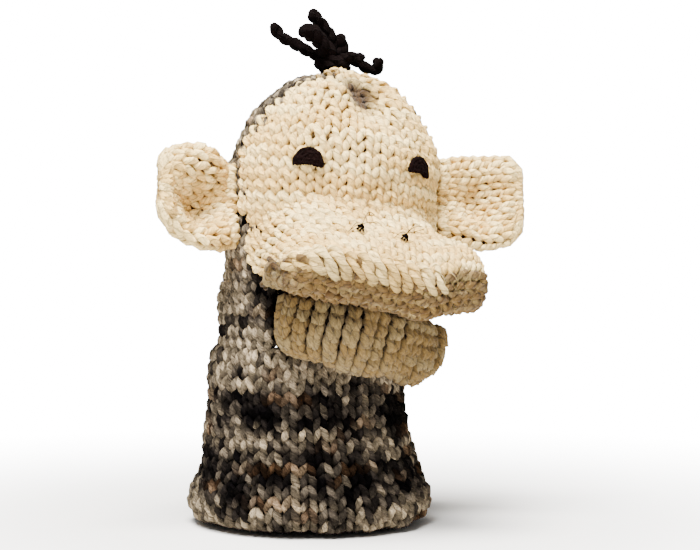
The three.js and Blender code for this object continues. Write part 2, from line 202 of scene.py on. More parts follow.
def wander(places, seed, spacing=1.0):
    """Smooth random values from 0 to 1 along a line."""
    rng = np.random.default_rng(seed)
    values = rng.uniform(0, 1, 4096)
    place = np.asarray(places) / spacing
    whole = np.floor(place).astype(int)
    share = smoothstep(0, 1, place - whole)
    return values[whole % 4096] * (1 - share) + values[(whole + 1) % 4096] * share


# Surfaces that the yarn is knitted along.

class Surface:
    """One layer of knitting as a grid: u from 0 to 1 along a course, v in mm across the courses."""

    def __init__(self, points, length, closed=False):
        self.points, self.length, self.closed = points, length, closed
        if closed:
            du = np.roll(points, -1, axis=1) - np.roll(points, 1, axis=1)
        else:
            du = np.gradient(points, axis=1)
        dv = np.gradient(points, axis=0)
        self.normals = unit(np.cross(du, dv))

    def at(self, u, v):
        rows, cols = self.points.shape[:2]
        i = np.clip(v / self.length, 0, 1) * (rows - 1)
        i0 = np.minimum(i.astype(int), rows - 2)
        fi = (i - i0)[:, None]
        if self.closed:
            j = (u % 1) * cols
            j0 = j.astype(int) % cols
            j1 = (j0 + 1) % cols
            fj = (j - np.floor(j))[:, None]
        else:
            j = np.clip(u, 0, 1) * (cols - 1)
            j0 = np.minimum(j.astype(int), cols - 2)
            j1 = j0 + 1
            fj = (j - j0)[:, None]

        def mix(grid):
            low = grid[i0, j0] * (1 - fj) + grid[i0, j1] * fj
            high = grid[i0 + 1, j0] * (1 - fj) + grid[i0 + 1, j1] * fj
            return low * (1 - fi) + high * fi

        return mix(self.points), unit(mix(self.normals))


class Yarns:
    """The yarn tubes and loose fibres of one piece, gathered into one mesh."""

    def __init__(self, name, seed):
        self.name = name
        self.rng = np.random.default_rng(seed)
        self.points, self.tints, self.plies = [], [], []
        self.faces, self.face_uvs = [], []
        self.roots = []
        self.count = 0
        self.strips = 0

    def add(self, points, tints, plies, faces, uvs):
        """Points with their colours, and faces of four corners; a repeated last corner makes a triangle."""
        self.points.append(points)
        self.tints.append(tints)
        self.plies.append(plies)
        self.faces.append(faces + self.count)
        self.face_uvs.append((uvs, self.strips))
        self.count += len(points)
        self.strips += 1

    def tube(self, centres, radius, tint, face=None, sides=8, closed=False, furry=True):
        """A two-ply yarn along the centres; face is the way its front looks; furry yarn grows fibres."""
        centres = np.asarray(centres, float)
        n = len(centres)
        radius = np.broadcast_to(radius, (n,)).astype(float)
        tint = np.broadcast_to(tint, (n, 3))
        if closed:
            tangent = unit(np.roll(centres, -1, axis=0) - np.roll(centres, 1, axis=0))
        else:
            tangent = unit(np.gradient(centres, axis=0))
        if face is None:
            face = np.zeros((n, 3))
            face[0] = np.cross(tangent[0], [0.3, 0.5, 0.81])
            for i in range(1, n):
                face[i] = face[i - 1] - tangent[i] * (face[i - 1] @ tangent[i])
        side = unit(np.cross(tangent, face))
        front = np.cross(side, tangent)
        s = np.concatenate([[0], np.cumsum(np.linalg.norm(np.diff(centres, axis=0), axis=1))])
        psi = np.arange(sides) * 2 * np.pi / sides
        section = side[:, None] * np.cos(psi)[:, None] + front[:, None] * np.sin(psi)[:, None]
        ring = centres[:, None] + radius[:, None, None] * section
        twist = psi - 2 * np.pi * s[:, None] / PLY_PITCH
        ply = np.stack([np.cos(twist), np.sin(twist), np.broadcast_to(s[:, None] / 5, twist.shape)], axis=-1)
        rows = n if closed else n - 1
        i, j = [grid.ravel() for grid in np.meshgrid(np.arange(rows), np.arange(sides), indexing="ij")]
        i1, j1 = (i + 1) % n, (j + 1) % sides
        faces = np.stack([i * sides + j, i * sides + j1, i1 * sides + j1, i1 * sides + j], axis=1)
        a, b, low, high = i / rows, (i + 1) / rows, j / sides, (j + 1) / sides
        uvs = np.stack([a, low, a, high, b, high, b, low], axis=1).reshape(-1, 4, 2)
        points, tints, plies = ring.reshape(-1, 3), np.repeat(tint, sides, axis=0), ply.reshape(-1, 3)
        if not closed:
            first_tip = centres[0] - TIP_REACH * radius[0] * tangent[0]
            last_tip = centres[-1] + TIP_REACH * radius[-1] * tangent[-1]
            tips = np.stack([first_tip, last_tip])
            points = np.vstack([points, tips])
            tints = np.vstack([tints, tint[:1], tint[-1:]])
            plies = np.vstack([plies, plies[:1], plies[-1:]])
            k, k1 = np.arange(sides), (np.arange(sides) + 1) % sides
            last = (n - 1) * sides
            tip = np.full(sides, n * sides)
            start = np.stack([k1, k, tip, tip], axis=1)
            end = np.stack([last + k, last + k1, tip + 1, tip + 1], axis=1)
            faces = np.vstack([faces, start, end])
            uvs = np.concatenate([uvs, uvs[:sides], uvs[-sides:]])
        self.add(points, tints, plies, faces, uvs)
        if furry:
            self.roots.append((centres, radius, side, front, tangent, tint))

    def fibres(self, count, length=(0.8, 3.0), width=0.05):
        """Loose fibres that stand off the yarn: thin three-sided spikes, rooted inside the tubes."""
        rng = self.rng
        parts = [np.vstack([root[k] for root in self.roots]) for k in (0, 2, 3, 4, 5)]
        centres, side, front, tangent, tint = parts
        radius = np.concatenate([root[1] for root in self.roots])
        pick = rng.integers(0, len(centres), count)
        turn = rng.uniform(0, 2 * np.pi, count)
        out = side[pick] * np.cos(turn)[:, None] + front[pick] * np.sin(turn)[:, None]
        root = centres[pick] + out * radius[pick, None] * 0.85
        size = rng.uniform(*length, count)[:, None] * rng.uniform(0.35, 1, count)[:, None]
        sweep = tangent[pick] * rng.choice([-1, 1], count)[:, None]
        swept = sweep * rng.uniform(0.2, 1.4, count)[:, None]
        way = unit(out * 0.8 + swept + 0.4 * rng.normal(size=(count, 3)))
        bend = unit(way + 0.7 * rng.normal(size=(count, 3)))
        middle = root + way * size * 0.5
        tip = middle + bend * size * 0.5
        across = unit(np.cross(way, rng.normal(size=(count, 3))))
        other = np.cross(way, across)
        points = []
        for centre, wide in ((root, width), (middle, width * 0.8)):
            for k in range(3):
                angle = 2 * np.pi * k / 3
                points.append(centre + wide * (across * np.cos(angle) + other * np.sin(angle)))
        points.append(tip)
        points = np.stack(points, axis=1)
        shaft = [(0, 1, 4, 3), (1, 2, 5, 4), (2, 0, 3, 5)]
        ends = [(3, 4, 6, 6), (4, 5, 6, 6), (5, 3, 6, 6), (2, 1, 0, 0)]
        corners = shaft + ends
        faces = (np.arange(count)[:, None, None] * 7 + np.array(corners)).reshape(-1, 4)
        tints = np.repeat(np.clip(tint[pick] * 1.15 + 0.01, 0, 1), 7, axis=0)
        plies = np.tile([1.0, 0.0, 0.0], (count * 7, 1))
        place = rng.uniform(0, 1, (count, 1, 1, 1)) + np.zeros((count, len(corners), 4, 2))
        place[..., 1] = 0.5
        self.add(points.reshape(-1, 3), tints, plies, faces, place.reshape(-1, 4, 2))

    def shaded_backing(self, surface, shade, place, low=0.0, high=1.0, start=0.0, end=None, inset=1.5,
               rows=60, cols=150):
        """A sheet of wool behind the loops, which closes the gaps between them; it is darkened as painted
        shade in the gaps.
        """
        end = surface.length if end is None else end
        v, u = np.meshgrid(np.linspace(start, end, rows), np.linspace(low, high, cols), indexing="ij")
        points, normals = surface.at(u.ravel(), v.ravel())
        points = points + normals * (0.8 * ripple(points, LUMPS) - inset)[:, None]
        # Painted shade: the sheet takes the loops' deepest shade and is darker still.
        tint = BACKING_SHADE * shade(points, u.ravel(), (v.ravel() / COURSE).astype(int), np.ones(u.size))
        i, j = [grid.ravel() for grid in np.meshgrid(np.arange(rows - 1), np.arange(cols - 1), indexing="ij")]
        faces = np.stack([i * cols + j, i * cols + j + 1, (i + 1) * cols + j + 1, (i + 1) * cols + j], axis=1)
        a, b, c, d = i / (rows - 1), (i + 1) / (rows - 1), j / (cols - 1), (j + 1) / (cols - 1)
        uvs = np.stack([a, c, a, d, b, d, b, c], axis=1).reshape(-1, 4, 2)
        plies = points * np.array([0, 0.4, 0.4]) + np.array([1.0, 0, 0])
        self.add(place(points), tint, plies, faces, uvs)

    def make(self, material, body=None, replaces=(), slot="knit_cream"):
        points = np.vstack(self.points) * MM
        faces = np.vstack(self.faces)
        uvs = np.concatenate([
            np.stack([uv[..., 0], (strip + 0.06 + 0.88 * uv[..., 1]) / self.strips], axis=-1)
            for uv, strip in self.face_uvs
        ])
        triangle = faces[:, 2] == faces[:, 3]
        sizes = np.where(triangle, 3, 4)
        keep = np.ones(faces.shape, bool)
        keep[triangle, 3] = False
        mesh = bpy.data.meshes.new(self.name)
        mesh.vertices.add(len(points))
        mesh.vertices.foreach_set("co", points.astype(np.float32).ravel())
        mesh.loops.add(int(sizes.sum()))
        mesh.loops.foreach_set("vertex_index", faces[keep].astype(np.int32))
        mesh.polygons.add(len(faces))
        mesh.polygons.foreach_set("loop_start", np.concatenate([[0], np.cumsum(sizes)[:-1]]).astype(np.int32))
        mesh.polygons.foreach_set("loop_total", sizes.astype(np.int32))
        mesh.update(calc_edges=True)
        mesh.shade_smooth()
        layer = mesh.uv_layers.new(name="OFBake")
        layer.data.foreach_set("uv", uvs[keep].astype(np.float32).ravel())
        tint = mesh.attributes.new("tint", "FLOAT_COLOR", "POINT")
        tints = np.vstack(self.tints)
        opaque = np.hstack([tints, np.ones((len(tints), 1))])
        tint.data.foreach_set("color", opaque.astype(np.float32).ravel())
        ply = mesh.attributes.new("ply", "FLOAT_VECTOR", "POINT")
        ply.data.foreach_set("vector", np.vstack(self.plies).astype(np.float32).ravel())
        mesh.materials.append(material)
        piece = bpy.data.objects.new(self.name, mesh)
        bpy.context.scene.collection.objects.link(piece)
        if replaces:
            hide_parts(*replaces)
        if body:
            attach(piece, body)
        return piece


def courses_of(stitches, places, low=0.0, high=1.0, closed=False):
    """Courses alike in width and stitches, at several places on a surface."""
    return [(v, low, high, stitches, closed) for v in places]


def knit(yarns, surface, courses, shade, place, samples=11, rib=0.0, close=0.0, lumps=0.8, purl=False,
         raised=0.0, radius=YARN_RADIUS, lean=STITCH_LEAN, depth=STITCH_DEPTH):
    """Courses of loops over a surface; each course is (v, u start, u end, stitches, closed)."""
    rng = yarns.rng
    facing = -1 if purl else 1
    for index, (v, u0, u1, stitches, closed) in enumerate(courses):
        count = samples * stitches
        t = np.linspace(-np.pi, 2 * np.pi * stitches - np.pi, count, endpoint=not closed)
        c = t / (2 * np.pi) + lean * np.sin(2 * t) - close * np.sin(t)
        knots = np.arange(2 * stitches + 1)
        place_on = (t + np.pi) / np.pi

        def jitter(size):
            values = rng.normal(0, size, 2 * stitches + 1)
            values[-1] = values[0]
            return np.interp(place_on, knots, values)

        width = jitter(0.035)
        u = u0 + (u1 - u0) * (c + 0.5 + width) / stitches
        rows_v = v + STITCH_REACH * COURSE * np.cos(t) + jitter(0.3)
        points, normals = surface.at(u, rows_v)
        off = facing * -depth * np.cos(2 * t) + raised + jitter(0.22)
        off = off + rib * np.cos(2 * np.pi * c) + lumps * ripple(points, LUMPS)
        if not closed:
            edge = np.minimum(t + np.pi, 2 * np.pi * stitches - np.pi - t)
            off = off - 2.6 * (1 - smoothstep(0, 1.5, edge))
        size = radius * (1 - 0.2 * np.cos(2 * t) * facing) * (1 + jitter(0.09))
        # cos 2t is how deep the yarn lies; the shade functions paint shade where it lies deep.
        tint = shade(points, u, index, np.cos(2 * t))
        front = turn_normals(place, points, normals)
        yarns.tube(place(points + normals * off[:, None]), size, tint, face=front, closed=closed)


def turn_normals(place, points, normals):
    return unit(place(points + 0.5 * normals) - place(points - 0.5 * normals))


# The knitted tube: sleeve, neck and head.

TUBE_PROFILE = smooth_line([
    (43.4, 21), (43.5, 15), (44.3, 9), (46.6, 4.9), (50.0, 3.4), (53.2, 4.9), (54.8, 9),
    (53.7, 14.5), (51.0, 20.5), (48.7, 27), (47.3, 35), (46.0, 45), (44.6, 56), (44.1, 66),
    (44.4, 80), (45.1, 104), (45.8, 128), (47.0, 150),
    (TEMPLE_HALF, TEMPLE_Z),
], 400)
DOME = np.array([
    (TEMPLE_HALF * (1 - high**DOME_POWER) ** (1 / DOME_POWER), TEMPLE_Z + (CROWN_Z - TEMPLE_Z) * high)
    for high in np.sin(np.linspace(0, math.pi / 2, 60))
])
MERIDIAN = along(np.vstack([TUBE_PROFILE, DOME[1:]]), 700)
TUBE_LENGTH = float(np.linalg.norm(np.diff(MERIDIAN, axis=0), axis=1).sum())
HEM_TURN = int(np.argmin(MERIDIAN[:200, 1]))


def tube_point(phi, radius, z):
    share = smoothstep(95, 150, z)
    depth = 1 - (1 - HEAD_DEPTH) * share
    return np.stack([radius * np.sin(phi), -radius * depth * np.cos(phi) - FACE_FORWARD * share,
                     z + 0 * phi], axis=-1)


def dented(points):
    """The crown is drawn together: a long dimple in front of the tuft between two soft ridges."""
    def bump(place, wide, tall):
        away = (points - np.array(place)) / np.array([wide, 14.0, tall])
        return np.exp(-(away**2).sum(axis=-1) / 2)

    dent = 14.0 * bump((2.5, -24, 198), 6.2, 7.5) - 3.5 * bump((-10.0, -24, 199), 5.0, 8.0)
    dent = dent - 3.5 * bump((16.0, -24, 198), 5.0, 8.0)
    return points - dent[..., None] * np.array([0.1, -0.94, 0.30])


def tube_surface():
    phi = np.linspace(0, 2 * np.pi, 360, endpoint=False)
    radius, z = MERIDIAN[:, :1], MERIDIAN[:, 1:]
    grid = tube_point(phi[None] + 0 * z, radius + 0 * phi[None], z + 0 * phi[None])
    return Surface(dented(grid), TUBE_LENGTH, closed=True)


TUBE = tube_surface()


def height_on_tube(v):
    return np.interp(v, np.linspace(0, TUBE_LENGTH, len(MERIDIAN)), MERIDIAN[:, 1])


def radius_on_tube(v):
    return np.interp(v, np.linspace(0, TUBE_LENGTH, len(MERIDIAN)), MERIDIAN[:, 0])


def v_at_height(z):
    """The place on the outside of the tube at a height z."""
    outside = slice(HEM_TURN, None)
    return float(np.interp(z, MERIDIAN[outside, 1], np.linspace(0, TUBE_LENGTH, len(MERIDIAN))[outside]))


def columns_at(v):
    """Stitches in a whole round: fewer in each round as the crown closes."""
    if height_on_tube(v) < 172:
        return COLUMNS_ROUND
    wanted = 2 * np.pi * radius_on_tube(v) * 0.96 / COLUMN
    return int(np.clip(round(wanted / 6) * 6, 6, COLUMNS_ROUND))


def panel_edge(z):
    """How far round from the front the face panel reaches, in radians; its seam leans in to the tuft."""
    return np.radians(np.interp(z, [140, 168, 185, 199, 206, 211], [75, 77, 69, 55, 43, 33]))


ALL_COURSES = np.arange(2.6, TUBE_LENGTH - 2.5, COURSE)


def variegated(points, u, index, shade_depth):
    """Marled wool: its shade changes along its length, in darker and lighter rounds and in stitches.

    It is also darker towards the hem and towards the crown; painted shade darkens it under the muzzle and
    deep between the stitches.
    """
    place = index + u
    z = points[:, 2]
    rounds = 0.20 * np.exp(-((z - 76) / 9) ** 2) + 0.14 * np.exp(-((z - 40) / 5) ** 2)
    rounds = rounds + 0.13 * np.exp(-((z - 9) / 7) ** 2) + 0.14 * smoothstep(88, 120, z)
    rounds = rounds + 0.04 - 0.19 * np.exp(-((z - 54) / 5.5) ** 2) - 0.18 * np.exp(-((z - 24) / 7) ** 2)
    # Painted shade: the front of the neck is darker under the muzzle and beside the jaw.
    shade_under_muzzle = smoothstep(18, 34, -points[:, 1]) * smoothstep(84, 96, z) * (1 - smoothstep(128, 142, z))
    value = 0.26 * wander(place, 11, 0.05) + 0.36 * wander(place, 12, 0.014) + 0.34 * wander(place, 14, 0.006)
    value = value + rounds - 0.30 * shade_under_muzzle + 0.10 * ripple(points, SHADES)
    # Darker towards the hem and towards the crown.
    value = value - 0.06 * smoothstep(64, 40, z)
    value = value - 0.10 * smoothstep(160, 185, z)
    steps = [0.20, 0.34, 0.50, 0.80]
    shades = np.stack([BLACK, CHARCOAL, GREY, OATMEAL])
    tint = np.stack([np.interp(value, steps, shades[:, k]) for k in range(3)], axis=1)
    warmth = wander(place, 13, 0.05) + 0.24 * smoothstep(12, 45, points[:, 0])
    brown = smoothstep(0.72, 1.0, warmth)[:, None] * 0.6
    tint = tint * (1 - brown) + brown * BROWN * np.clip(value, 0.1, 1)[:, None] * 1.6
    # Painted shade: darker where the yarn lies deep between the stitches.
    return np.clip(tint * (0.80 - 0.20 * shade_depth)[:, None], 0.001, 1)


def dimple_brown_and_shade(points):
    """The share of brown deep in the crown's dimple: partly the wool's own brown, partly painted shade in the
    hollow.
    """
    away = (points - np.array([1.0, -20.0, 196.0])) / np.array([6.5, 8.0, 7.5])
    return np.clip(2.2 * np.exp(-(away**2).sum(axis=-1) / 2), 0, 0.98)[:, None]


def cream(points, u, index, shade_depth):
    """Undyed wool, a little uneven and warmer in places; painted shade darkens it deep between the stitches,
    and the crown's dimple is brown and darkened as painted shade.
    """
    pale = smoothstep(0.3, 0.8, wander(index * 7.3 + u * 5, 21, 0.5))[:, None]
    tint = CREAM * (1 - pale) + CREAM_PALE * pale
    # Painted shade: darker where the yarn lies deep between the stitches; warm adds tan at random.
    deep = smoothstep(-0.1, 1.0, shade_depth)[:, None] * 0.85
    warm = 0.16 * smoothstep(0.6, 0.95, wander(index * 3.1 + u * 9, 22, 0.35))[:, None]
    tan = np.clip(deep + warm, 0, 1)
    tint = tint * (1 - tan) + TAN_AND_SHADE * tan
    return tint * (1 - dimple_brown_and_shade(points)) + UMBER_AND_SHADE * dimple_brown_and_shade(points)


def lip_wool_shaded(points, u, index, shade_depth):
    """The same wool, darker under the lip: painted shade."""
    return cream(points, u, index, shade_depth) * np.array([0.46, 0.45, 0.44])


def shaded_wool(points, u, index, shade_depth):
    """The same wool, darker still: painted shade for the jaw under the muzzle, the mouth's linings and the
    wool behind the muzzle's loops.
    """
    return cream(points, u, index, shade_depth) * np.array([0.235, 0.225, 0.225])


# Materials.

def node(tree, kind, **inputs):
    made = tree.nodes.new(kind)
    for name, value in inputs.items():
        made.inputs[name.replace("_", " ")].default_value = value
    return made


def maths(tree, operation, *inputs):
    """A maths node's value; each input is another node's output or a number."""
    made = tree.nodes.new("ShaderNodeMath")
    made.operation = operation
    for socket, value in zip(made.inputs, inputs):
        if isinstance(value, float):
            socket.default_value = value
        else:
            tree.links.new(value, socket)
    return made.outputs["Value"]


def wool(name, streak, groove, roughness=0.92, sheen=0.3, gloss=0.2, marl=0.0):
    """Two-ply wool: fine streaks along the plies and a groove between them, bumped and darkened as painted
    shade; marl makes one ply the darker.
    """
    material = bpy.data.materials.new(name)
    material.use_nodes = True
    tree = material.node_tree
    shader = tree.nodes["Principled BSDF"]
    shader.inputs["Roughness"].default_value = roughness
    shader.inputs["Specular IOR Level"].default_value = gloss
    shader.inputs["Sheen Weight"].default_value = sheen
    shader.inputs["Sheen Roughness"].default_value = 0.6
    tint = tree.nodes.new("ShaderNodeAttribute")
    tint.attribute_name = "tint"
    ply = tree.nodes.new("ShaderNodeAttribute")
    ply.attribute_name = "ply"
    streaks = node(tree, "ShaderNodeTexNoise", Scale=2.6, Detail=4.0, Roughness=0.65)
    tree.links.new(ply.outputs["Vector"], streaks.inputs["Vector"])
    spread = node(tree, "ShaderNodeMapRange", From_Min=0.3, From_Max=0.7,
                  To_Min=1 - streak, To_Max=1 + streak * 0.6)
    tree.links.new(streaks.outputs["Fac"], spread.inputs["Value"])
    split = tree.nodes.new("ShaderNodeSeparateXYZ")
    tree.links.new(ply.outputs["Vector"], split.inputs["Vector"])
    round_ply = maths(tree, "POWER", maths(tree, "ABSOLUTE", split.outputs["X"]), 0.45)
    shadow = node(tree, "ShaderNodeMapRange", From_Min=0.0, From_Max=0.6, To_Min=1 - groove, To_Max=1.0)
    tree.links.new(round_ply, shadow.inputs["Value"])
    both = maths(tree, "MULTIPLY", spread.outputs["Result"], shadow.outputs["Result"])
    either_ply = node(tree, "ShaderNodeMapRange", From_Min=-0.35, From_Max=0.35,
                      To_Min=1 - marl, To_Max=1 + marl)
    tree.links.new(split.outputs["X"], either_ply.inputs["Value"])
    marled = maths(tree, "MULTIPLY", both, either_ply.outputs["Result"])
    colour = tree.nodes.new("ShaderNodeVectorMath")
    colour.operation = "SCALE"
    tree.links.new(tint.outputs["Color"], colour.inputs[0])
    tree.links.new(marled, colour.inputs["Scale"])
    tree.links.new(colour.outputs["Vector"], shader.inputs["Base Color"])
    height = maths(tree, "MULTIPLY_ADD", streaks.outputs["Fac"], 0.9, round_ply)
    bump = node(tree, "ShaderNodeBump", Strength=1.0, Distance=0.0009)
    tree.links.new(height, bump.inputs["Height"])
    tree.links.new(bump.outputs["Normal"], shader.inputs["Normal"])
    return material


VARIEGATED_WOOL = wool("variegated_wool", 0.85, 0.45, sheen=0.0, gloss=0.01, marl=0.45)
CREAM_WOOL = wool("cream_wool", 0.45, 0.6, sheen=0.06, gloss=0.06)
DARK_WOOL = wool("dark_wool", 0.45, 0.45, sheen=0.0, gloss=0.03)
FELTED_WOOL = wool("felted_wool", 0.4, 0.15, sheen=0.0, gloss=0.03)


# The sleeve and the back of the head.

NECK_V = v_at_height(80)
PANEL_V = v_at_height(140)

sleeve = Yarns("sleeve_knit", 31)
sleeve_courses = courses_of(COLUMNS_ROUND, ALL_COURSES[ALL_COURSES < NECK_V], closed=True)
knit(sleeve, TUBE, sleeve_courses, variegated, in_tube)
sleeve.shaded_backing(TUBE, variegated, in_tube, start=3, end=NECK_V - 2)
sleeve.fibres(8000, width=0.045)
sleeve_piece = sleeve.make(VARIEGATED_WOOL, replaces=["sleeve"], slot="knit_variegated")
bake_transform(sleeve_piece)


def back_edge(z):
    """How far round from the front the back's wool begins; the jaw and the muzzle cover the gap below."""
    if z < 134:
        return math.radians(50)
    if z < 140:
        return math.radians(70)
    return float(panel_edge(z))


back_courses = []
face_courses = []
for v in ALL_COURSES[ALL_COURSES >= NECK_V]:
    z = float(height_on_tube(v))
    columns = columns_at(v)
    edge = back_edge(z)
    wider = edge + 0.16 * smoothstep(180, 205, z)
    first = math.ceil((wider - 0.12) / (2 * np.pi) * columns - 0.5)
    last = math.ceil((edge - 0.12) / (2 * np.pi) * columns - 0.5)
    back_courses.append((v, first / columns, 1 - last / columns, columns - first - last, False))
    if z >= 128:
        first = math.floor(edge / (2 * np.pi) * columns + 0.5)
        last = math.floor(wider / (2 * np.pi) * columns + 0.5)
        face_courses.append((v, -first / columns, last / columns, first + last, False))

head = Yarns("head_back_knit", 32)
knit(head, TUBE, [c for c in back_courses if c[3] > 1], variegated, in_head)
head.shaded_backing(TUBE, variegated, in_head, 0.20, 0.80, NECK_V, TUBE_LENGTH - 4)
for low, high in ((0.14, 0.20), (0.80, 0.86)):
    head.shaded_backing(TUBE, variegated, in_head, low, high, NECK_V, PANEL_V, rows=30, cols=12)
head.fibres(7000, width=0.045)
head.make(VARIEGATED_WOOL, "head", ["head_back"], "knit_variegated")

face = Yarns("face_panel_knit", 33)
knit(face, TUBE, [c for c in face_courses if c[3] > 1], cream, in_head, raised=0.7, depth=1.2)
face.shaded_backing(TUBE, cream, in_head, -0.205, 0.205, PANEL_V, TUBE_LENGTH - 4)
face.fibres(6500, width=0.04)
face.make(CREAM_WOOL, "head", ["face_panel"])


# The muzzle: a pouch knitted from the lip up and back over its top to the face.

def ruled(low, high, halves, centres, power, wrap, taper=1.0, steps=220):
    """A pouch's surface: each course is an arch from the side line over the middle line, wrapped on the head.

    The pouch narrows to the share taper where it meets the head.
    """
    count = len(low)
    theta = np.linspace(0, np.pi, steps)
    rise = np.abs(np.sin(theta)) ** (2 / power)
    across = -np.sign(np.cos(theta)) * np.abs(np.cos(theta)) ** (2 / power)
    grid = np.empty((count, steps, 3))
    for i in range(count):
        yz = low[i][None] + (high[i] - low[i])[None] * rise[:, None]
        x = centres[i] + halves[i] * across * (1 - (1 - taper) * smoothstep(-55, -40, yz[:, 0]))
        clipped = np.clip(np.abs(x), 0, 45.5)
        back = (47 - np.sqrt(47**2 - clipped**2)) * HEAD_DEPTH * wrap[i]
        line = np.stack([x, yz[:, 0] + back, yz[:, 1]], axis=1)
        grid[i] = along(line, steps)
    length = float(np.linalg.norm(np.diff(high, axis=0), axis=1).sum())
    return Surface(grid, length)


STEPS = 60
SHARE = np.linspace(0, 1, STEPS)
MOUTH_SHIFT = 4.0
LIP_V = 21.0
MUZZLE_COLUMNS = 20


def lifted_corner(points):
    """The muzzle's lower right corner and its whole left shoulder are drawn up."""
    x, y, z = points[..., 0], points[..., 1], points[..., 2]
    corner = 10 * smoothstep(26, 46, -x) * (1 - smoothstep(102, 121, z))
    shoulder = smoothstep(24, 56, x) * np.interp(z, [100, 110, 122, 138, 156], [8, 8.5, 10, 9, 0])
    lift = (corner + shoulder) * smoothstep(40, 60, -y)
    return points + lift[..., None] * np.array([0.1, 0.3, 1.0])


muzzle_top = smooth_line([
    (-66, 104.8), (-71.5, 105.6), (-74.6, 109.5), (-75.4, 114.5), (-75.0, 119.5), (-72.0, 125),
    (-66.0, 131.5), (-59, 137.5), (-51.5, 144), (-46.5, 150), (-44, 157),
], STEPS)
side_y = np.interp(SHARE, [0, 0.30, 0.45, 1], [-60, -58, -52, -42])
side_z = np.interp(SHARE, [0, 0.10, 0.30, 0.46, 0.8, 1], [104.2, 106, 111, 107.5, 109, 122])
muzzle_side = np.stack([side_y, side_z], axis=1)
muzzle_half = np.interp(SHARE, [0, 0.12, 0.35, 0.6, 0.85, 1], [42, 43.5, 44, 45, 45.5, 46])
muzzle_centre = 11.5 - 7.5 * smoothstep(0.5, 1.0, SHARE)
MUZZLE = ruled(muzzle_side, muzzle_top, muzzle_half, muzzle_centre, 3.6, smoothstep(0.45, 0.95, SHARE))
MUZZLE = Surface(lifted_corner(MUZZLE.points), MUZZLE.length)

muzzle = Yarns("upper_muzzle_knit", 41)
knit(muzzle, MUZZLE, courses_of(MUZZLE_COLUMNS, (2.0, 7.0, 12.0, 16.5)), lip_wool_shaded, in_muzzle, purl=True,
     raised=0.8, depth=1.6)
knit(muzzle, MUZZLE, courses_of(MUZZLE_COLUMNS, np.arange(LIP_V + 3.4, MUZZLE.length, COURSE)), cream,
     in_muzzle, depth=1.2)
LIP_TURNS = 17
t = np.linspace(0, 2 * np.pi * LIP_TURNS, LIP_TURNS * 20)
u = 0.05 + 0.87 * t / t[-1]
wobble = 0.7 * np.sin(t * 0.37) + 0.5 * np.sin(t * 0.23 + 2)
edge_points, edge_normals = MUZZLE.at(u - 0.024 * np.cos(t), LIP_V - 1.4 + (5.6 + wobble) * np.cos(t))
coil = edge_points + edge_normals * (0.7 + (2.7 + 0.4 * wobble) * np.sin(t))[:, None]
coil_side = unit(np.cross(np.gradient(coil, axis=0), edge_normals))
for phase in (0, np.pi):
    turn = t * 2.4 + phase
    ply_line = coil + 1.15 * (coil_side * np.cos(turn)[:, None] + edge_normals * np.sin(turn)[:, None])
    # Painted shade: the lip's coil is darker overall, darker on its under side and tan where it turns in
    # against the muzzle.
    tint = cream(coil, u, 3, 0.2 - np.sin(t)) * (0.66 + 0.22 * np.cos(t - 0.6))[:, None]
    muzzle.tube(in_muzzle(ply_line), 1.65 + 0.12 * np.sin(t * 0.53), tint)
muzzle.shaded_backing(MUZZLE, shaded_wool, in_muzzle, 0.02, 0.98, 1, MUZZLE.length - 2)
muzzle.fibres(8000, width=0.04)
muzzle_piece = muzzle.make(CREAM_WOOL, replaces=["upper_muzzle"])
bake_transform(muzzle_piece)

roof_side = np.stack([np.interp(SHARE, [0, 1], [-44, -58]), np.interp(SHARE, [0, 1], [106, 104.5])], axis=1)
roof_middle = smooth_line([(-36, 107), (-48, 106.5), (-58, 106), (-67, 104.8)], STEPS)
ROOF = ruled(roof_side, roof_middle, np.interp(SHARE, [0, 0.5, 1], [36, 44, 46]), MOUTH_SHIFT * SHARE, 3.0,
             np.zeros(STEPS))
ROOF = Surface(lifted_corner(ROOF.points), ROOF.length)
roof = Yarns("mouth_roof_knit", 42)
knit(roof, ROOF, courses_of(13, np.arange(2.6, ROOF.length - 1, COURSE), 0.02, 0.98), shaded_wool, in_muzzle)
roof_piece = roof.make(CREAM_WOOL, replaces=["mouth_roof"])
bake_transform(roof_piece)


# The jaw: a deeply ribbed pouch for the thumb.

jaw_front = smooth_line([(-45, 77.5), (-52, 77), (-57.5, 80), (-61, 86), (-61.8, 94), (-60, 102)], STEPS)
jaw_side = smooth_line([(-42, 80.5), (-42, 81.5), (-43, 83.5), (-44, 88), (-45, 94), (-45, 101)], STEPS)
JAW = ruled(jaw_side, jaw_front, np.full(STEPS, 43.0), np.full(STEPS, MOUTH_SHIFT + 9.0), 3.0,
            np.full(STEPS, 0.9), 0.84)
jaw = Yarns("lower_jaw_knit", 43)
knit(jaw, JAW, courses_of(17, np.arange(2.4, JAW.length + 1, COURSE)), shaded_wool, in_jaw, rib=2.3,
     close=0.07, lean=0.165, lumps=1.6, depth=1.7, radius=1.7)
jaw.shaded_backing(JAW, shaded_wool, in_jaw, 0.02, 0.98, 1, JAW.length - 1)
jaw.fibres(4000, width=0.04)
jaw_piece = jaw.make(CREAM_WOOL, replaces=["lower_jaw"])
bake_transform(jaw_piece)

